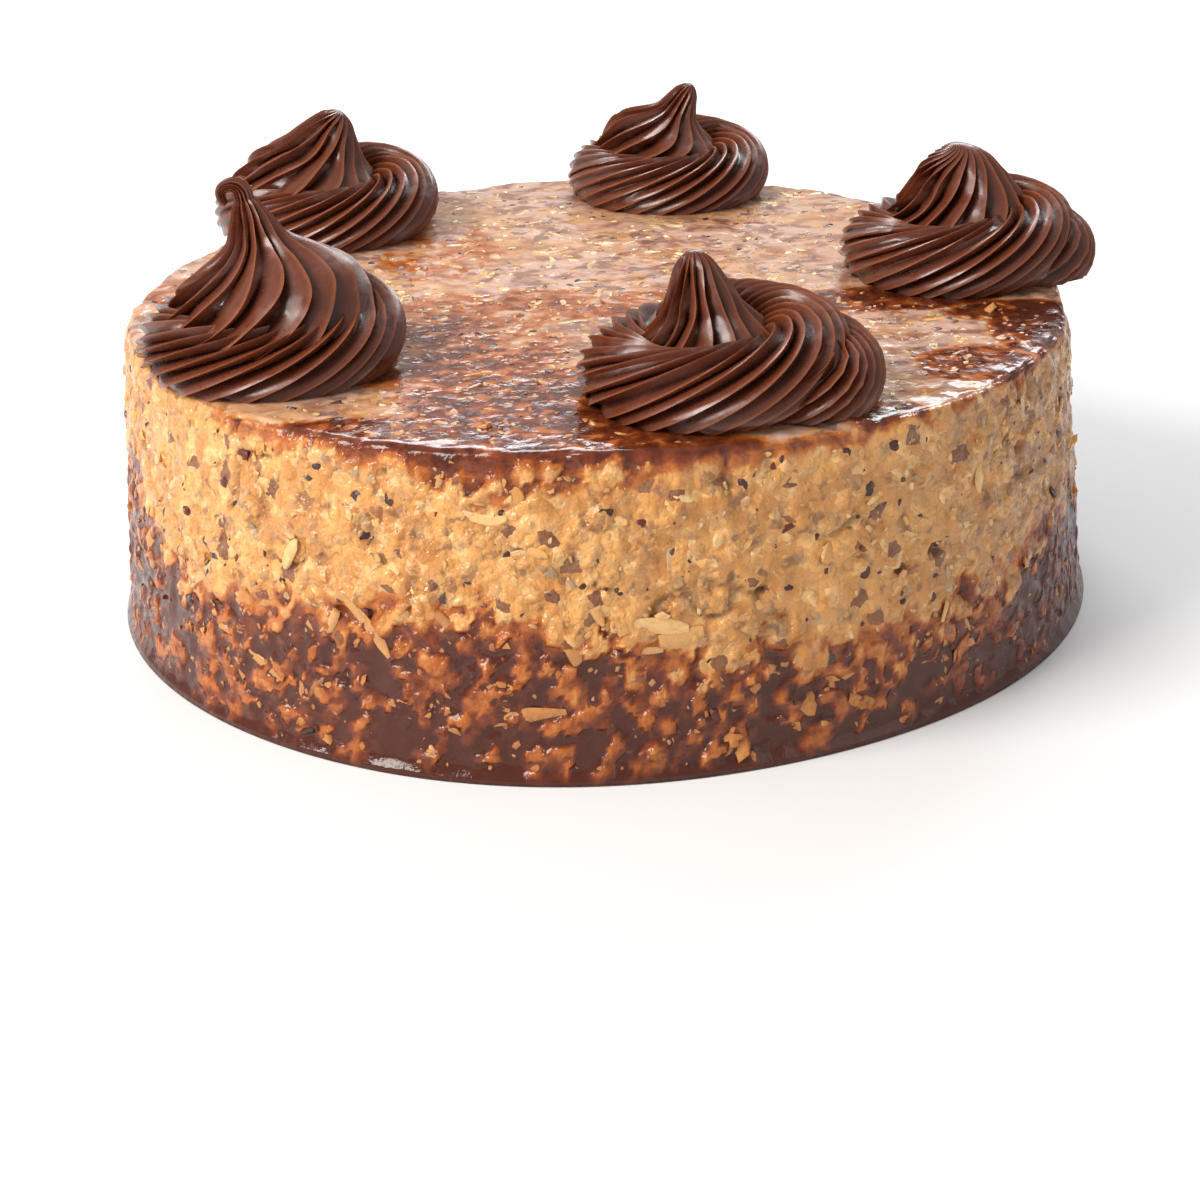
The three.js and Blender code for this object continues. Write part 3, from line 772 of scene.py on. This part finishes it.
class Shader:
    """A small helper for building a material's nodes."""

    def __init__(self, name):
        self.material = bpy.data.materials.new(name)
        self.material.use_nodes = True
        self.nodes = self.material.node_tree.nodes
        self.links = self.material.node_tree.links
        self.surface = self.nodes["Principled BSDF"]
        self.surface.subsurface_method = "BURLEY"  # the quickest to render
        self.place = self.nodes.new("ShaderNodeTexCoord").outputs["Object"]

    def set(self, **values):
        for name, value in values.items():
            self.surface.inputs[name.replace("_", " ")].default_value = value

    def link(self, source, target):
        self.links.new(source, target)

    def value(self, name, output="Fac"):
        node = self.nodes.new("ShaderNodeAttribute")
        node.attribute_name = name
        return node.outputs[output]

    def stretched(self, scale):
        """The place, with each axis scaled."""
        node = self.nodes.new("ShaderNodeMapping")
        node.inputs["Scale"].default_value = scale
        self.link(self.place, node.inputs["Vector"])
        return node.outputs["Vector"]

    def texture(self, kind, size_mm, place=None):
        node = self.nodes.new("ShaderNodeTex" + kind)
        node.inputs["Scale"].default_value = 1 / (size_mm * MM)
        self.link(place or self.place, node.inputs["Vector"])
        return node

    def noise(self, size_mm, detail=2.0, place=None, distortion=0.0):
        node = self.texture("Noise", size_mm, place)
        node.inputs["Detail"].default_value = detail
        node.inputs["Distortion"].default_value = distortion
        return node.outputs["Fac"]

    def cells(self, size_mm):
        return self.texture("Voronoi", size_mm).outputs["Distance"]

    def patches(self, size_mm, wander_mm):
        """Two random numbers for each cell, and how far its middle is. Its edges bend by wander_mm."""
        bent = self.texture("Noise", 0.6 * size_mm)
        moved = self.nodes.new("ShaderNodeVectorMath")
        moved.operation = "MULTIPLY_ADD"
        moved.inputs[1].default_value = (wander_mm * MM,) * 3
        self.link(bent.outputs["Color"], moved.inputs[0])
        self.link(self.place, moved.inputs[2])
        node = self.texture("Voronoi", size_mm, moved.outputs["Vector"])
        split = self.nodes.new("ShaderNodeSeparateColor")
        self.link(node.outputs["Color"], split.inputs["Color"])
        return split.outputs["Red"], split.outputs["Green"], node.outputs["Distance"]

    def across(self):
        """The place along X."""
        split = self.nodes.new("ShaderNodeSeparateXYZ")
        self.link(self.place, split.inputs["Vector"])
        return split.outputs["X"]

    def between(self, source, low, high, to_low=0.0, to_high=1.0):
        """A soft step of the source between two limits."""
        node = self.nodes.new("ShaderNodeMapRange")
        node.interpolation_type = "SMOOTHSTEP"
        self.link(source, node.inputs["Value"])
        names = ("From Min", "From Max", "To Min", "To Max")
        for name, value in zip(names, (low, high, to_low, to_high)):
            node.inputs[name].default_value = value
        return node.outputs["Result"]

    def math(self, operation, first, second):
        node = self.nodes.new("ShaderNodeMath")
        node.operation = operation
        for socket, item in zip(node.inputs, (first, second)):
            if isinstance(item, (int, float)):
                socket.default_value = item
            else:
                self.link(item, socket)
        return node.outputs["Value"]

    def times(self, first, second):
        return self.math("MULTIPLY", first, second)

    def mix(self, factor, first, second):
        node = self.nodes.new("ShaderNodeMix")
        node.data_type = "RGBA"
        for name, item in (("Factor_Float", factor), ("A_Color", first), ("B_Color", second)):
            socket = next(s for s in node.inputs if s.identifier == name)
            if isinstance(item, tuple):
                socket.default_value = (*item, 1)
            elif isinstance(item, (int, float)):
                socket.default_value = item
            else:
                self.link(item, socket)
        return next(s for s in node.outputs if s.identifier == "Result_Color")

    def bump(self, height, distance_mm, strength=1.0, under=None):
        node = self.nodes.new("ShaderNodeBump")
        node.inputs["Distance"].default_value = distance_mm * MM
        node.inputs["Strength"].default_value = strength
        self.link(height, node.inputs["Height"])
        if under is not None:
            self.link(under, node.inputs["Normal"])
        return node.outputs["Normal"]

    def finish(self, colour, roughness, normal):
        self.link(colour, self.surface.inputs["Base Color"])
        self.link(roughness, self.surface.inputs["Roughness"])
        self.link(normal, self.surface.inputs["Normal"])
        return self.material


def frosting_material():
    """Caramel paste with chopped nuts under its skin, and chocolate of uneven thickness over it, with
    painted shade in its cracks and holes.
    """
    s = Shader("frosting")
    s.surface.subsurface_method = "RANDOM_WALK"
    s.set(Subsurface_Weight=0.25, Subsurface_Scale=0.004, Subsurface_Radius=(1.0, 0.45, 0.15), IOR=1.45)
    paste = s.mix(s.between(s.noise(9, 3), 0.35, 0.65), CARAMEL, HONEY)
    paste = s.mix(s.between(s.noise(2.6, 3, distortion=0.6), 0.55, 0.72, 0, 0.75), paste, BUTTER)
    paste = s.mix(s.between(s.noise(3.4, 2, distortion=0.4), 0.57, 0.70, 0, 0.7), paste, PASTE_SHADE)
    paste = s.mix(s.between(s.cells(3.4), 0.0, 0.07, 0.7, 0), paste, PASTE_SEAM)
    slab, nut, from_middle = s.patches(3.0, 1.6)
    faint = s.between(s.noise(2.2, 3), 0.35, 0.65, 0.2, 1.0)
    paste = s.mix(s.times(s.between(slab, 0.80, 0.84, 0, 0.6), faint), paste, SUNK_COCONUT)
    paste = s.mix(s.times(s.between(slab, 0.10, 0.14, 0.6, 0), faint), paste, PALE_COCONUT)
    paste = s.mix(s.between(nut, 0.945, 0.96, 0, 0.8), paste, SUNK_NUT)
    # towards the right the paste turns greyer and darker and the chocolate darker: partly their own
    # colour, partly painted shade away from the key light
    to_right = s.between(s.across(), 0.04, 0.125)
    right_grey_and_shade = s.times(to_right, s.between(s.noise(4.5, 3), 0.40, 0.58, 0, 0.75))
    paste = s.mix(right_grey_and_shade, paste, RIGHT_GREY_AND_SHADE)
    streak = s.stretched((1, 1.2, 1))
    haze = s.mix(s.between(s.noise(7, 2, streak, 0.4), 0.38, 0.60), HAZE_DARK, HAZE_PALE)
    haze = s.mix(s.between(s.noise(4, 3, streak), 0.53, 0.68), haze, HAZE_GOLD)
    haze = s.mix(s.between(nut, 0.93, 0.94, 0, 0.6), haze, HAZE_NUT)
    blotchy = s.between(s.noise(22, 3, streak), 0.3, 0.6, 0.45, 1.0)
    top_share = s.times(s.value("top"), blotchy)
    paste = s.mix(top_share, paste, haze)
    uneven = s.math("SUBTRACT", s.noise(3.6, 3, distortion=0.5), 0.44)
    covered = s.between(s.value("chocolate"), 0.0, 0.25)
    thick = s.math("ADD", s.value("chocolate"), s.times(uneven, covered))
    thick = s.math("ADD", thick, s.times(s.times(to_right, covered), 0.28))
    glow = s.mix(s.between(thick, 0.04, 0.40), paste, AMBER)
    brown = s.mix(s.between(thick, 0.34, 0.66), glow, BROWN)
    brown = s.mix(s.between(thick, 0.58, 0.95), brown, DARK_BROWN)
    # painted shade in the cracks and holes
    brown = s.mix(s.value("hollow_shade"), brown, HOLLOW_SHADE)
    rough = s.between(s.noise(1.6, 2), 0.3, 0.7, 0.05, 0.23)
    level = s.between(s.value("top"), 0.0, 1.0, 1.0, 0.15)
    fine = s.bump(s.times(s.noise(0.7, 1), level), 0.14, 0.5)
    under_film = s.between(s.value("chocolate"), 0.25, 0.8)
    still = s.math("MAXIMUM", under_film, s.times(s.value("top"), 0.95))
    calm = s.math("SUBTRACT", 1.0, s.times(still, 0.92))
    lumps = s.math("ADD", s.noise(1.5, 2), s.between(from_middle, 0.1, 0.75, 0.7, 0))
    coarse = s.bump(s.times(lumps, calm), 0.8, 0.9, fine)
    return s.finish(brown, rough, coarse)


def coconut_material(name, scatter):
    """Moist coconut: pale and a little see-through, with a fibre and the frosting's stain."""
    s = Shader(name)
    s.set(Subsurface_Weight=scatter, Subsurface_Scale=0.003, Subsurface_Radius=(1.0, 0.6, 0.3), IOR=1.43)
    tint = s.mix(s.between(s.noise(1.8, 3), 0.4, 0.7, 0, 0.45), s.value("tint", "Color"), COCONUT_STAIN)
    tint = s.mix(s.between(s.noise(0.9, 2), 0.62, 0.75, 0, 0.4), tint, COCONUT_SPECK)
    rough = s.between(s.noise(1.2, 2), 0.3, 0.7, 0.12, 0.4)
    return s.finish(tint, rough, s.bump(s.noise(0.7, 3), 0.25, 0.6))


def pecan_material():
    """Chopped nut and its dark skin under a wet coat."""
    s = Shader("pecan")
    s.set(IOR=1.43)
    tint = s.mix(s.between(s.noise(1.5, 3), 0.4, 0.7, 0, 0.45), s.value("tint", "Color"), NUT_FLESH)
    rough = s.between(s.noise(1.0, 2), 0.3, 0.7, 0.1, 0.34)
    return s.finish(tint, rough, s.bump(s.noise(0.8, 3), 0.35, 0.7))


def chocolate_material():
    """Satin buttercream with a slight grain: painted shade darkens the grooves, and painted warm light
    brightens the thin ridges.
    """
    s = Shader("chocolate_cream")
    s.set(Subsurface_Weight=0.12, Subsurface_Scale=0.002, Subsurface_Radius=(1.0, 0.35, 0.18), IOR=1.5)
    # painted shade in the grooves, then painted warm light on the crests
    tint = s.mix(s.between(s.value("ridge"), 0.0, 0.55), GROOVE_SHADE, CREAM)
    tint = s.mix(s.between(s.value("ridge"), 0.8, 1.0), tint, CREST_GLOW)
    tint = s.mix(s.between(s.noise(6, 3), 0.4, 0.7, 0, 0.25), tint, CREAM_BLOTCH)
    rough = s.between(s.noise(2.5, 3), 0.3, 0.7, 0.19, 0.38)
    grain = s.noise(0.35, 3)
    patches = s.between(s.noise(7, 2), 0.48, 0.66, 0.15, 1.0)
    return s.finish(tint, rough, s.bump(s.times(grain, patches), 0.06, 0.6))


# ---- Camera, lights and floor ----

def make_camera():
    """The camera of the reference view."""
    yaw, pitch, roll = -0.0022828, 0.418905, -0.027196
    ahead = Vector((math.sin(yaw) * math.cos(pitch), math.cos(yaw) * math.cos(pitch), -math.sin(pitch)))
    level = Vector((math.cos(yaw), -math.sin(yaw), 0))
    upright = level.cross(ahead)
    right = math.cos(roll) * level + math.sin(roll) * upright
    up = -math.sin(roll) * level + math.cos(roll) * upright
    lens = bpy.data.cameras.new("camera")
    lens.sensor_width = 36
    lens.lens = 75.3
    lens.clip_start = 0.01
    camera = bpy.data.objects.new("camera", lens)
    camera.matrix_world = Matrix((
        (right.x, up.x, -ahead.x, 0),
        (right.y, up.y, -ahead.y, -0.585),
        (right.z, up.z, -ahead.z, 0.25066),
        (0, 0, 0, 1),
    ))
    bpy.context.scene.collection.objects.link(camera)
    bpy.context.scene.camera = camera


def make_lamp(name, place, size, power, colour):
    """A soft light that shines on the cake."""
    light = bpy.data.lights.new(name, "AREA")
    light.shape = "RECTANGLE"
    light.size, light.size_y = size
    light.energy = power
    light.color = colour
    lamp = bpy.data.objects.new(name, light)
    lamp.location = place
    lamp.rotation_euler = (Vector((0, 0, 0.05)) - Vector(place)).to_track_quat("-Z", "Y").to_euler()
    bpy.context.scene.collection.objects.link(lamp)


def make_studio():
    """Three soft lights, a white world and a wide floor under the cake."""
    make_lamp("key", (-0.75, -0.45, 0.75), (0.6, 0.6), 15.5, (1, 0.975, 0.94))
    make_lamp("back", (0.1, 0.9, 0.8), (0.9, 0.4), 10.0, (0.94, 0.97, 1))
    make_lamp("fill", (0.9, -0.6, 0.4), (0.6, 0.6), 0.9, (0.92, 0.96, 1))
    world = bpy.data.worlds.new("studio")
    bpy.context.scene.world = world
    world.use_nodes = True
    background = world.node_tree.nodes["Background"].inputs
    background["Color"].default_value = (1, 1, 1, 1)
    background["Strength"].default_value = 0.5
    corners = 3000.0 * np.array([(-1, -1, 0), (1, -1, 0), (1, 1, 0), (-1, 1, 0)])
    floor = new_mesh_object("floor", corners - (0, 0, 0.2), np.array([(0, 1, 2), (0, 2, 3)]))
    s = Shader("floor")
    s.set(Roughness=0.65, IOR=1.2)
    shade = s.mix(s.noise(60, 0), (0.80, 0.80, 0.80), (0.82, 0.82, 0.82))
    s.link(shade, s.surface.inputs["Base Color"])
    floor.data.materials.append(s.material)
    bpy.context.scene.view_settings.view_transform = "Standard"


# ---- The whole scene ----

def dress(piece, material, slot, *nodes):
    """Gives a piece its material and its body, and hides the nodes that it replaces. The slot is not
    used.
    """
    piece.data.materials.append(material)
    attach(piece, "root")
    if nodes:
        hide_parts(*nodes)


make_camera()
make_studio()
flakes, flake_places = make_flakes(np.random.default_rng(41))
chips, chip_places = make_chips(np.random.default_rng(42))
pecans, pecan_places = make_pecans(np.random.default_rng(43))
body = make_body(np.concatenate([flake_places, chip_places, pecan_places]), np.random.default_rng(44))
dress(body, frosting_material(), "frosting", "cake")
dress(flakes, coconut_material("coconut_flakes", 0.3), "coconut")
dress(chips, coconut_material("coconut_chips", 0.35), "coconut")
dress(pecans, pecan_material(), "pecan")
cream = chocolate_material()
for number, (name, sizes) in enumerate(ROSETTES.items()):
    dress(make_rosette(name, sizes, np.random.default_rng(50 + number)), cream, "chocolate_cream", name)
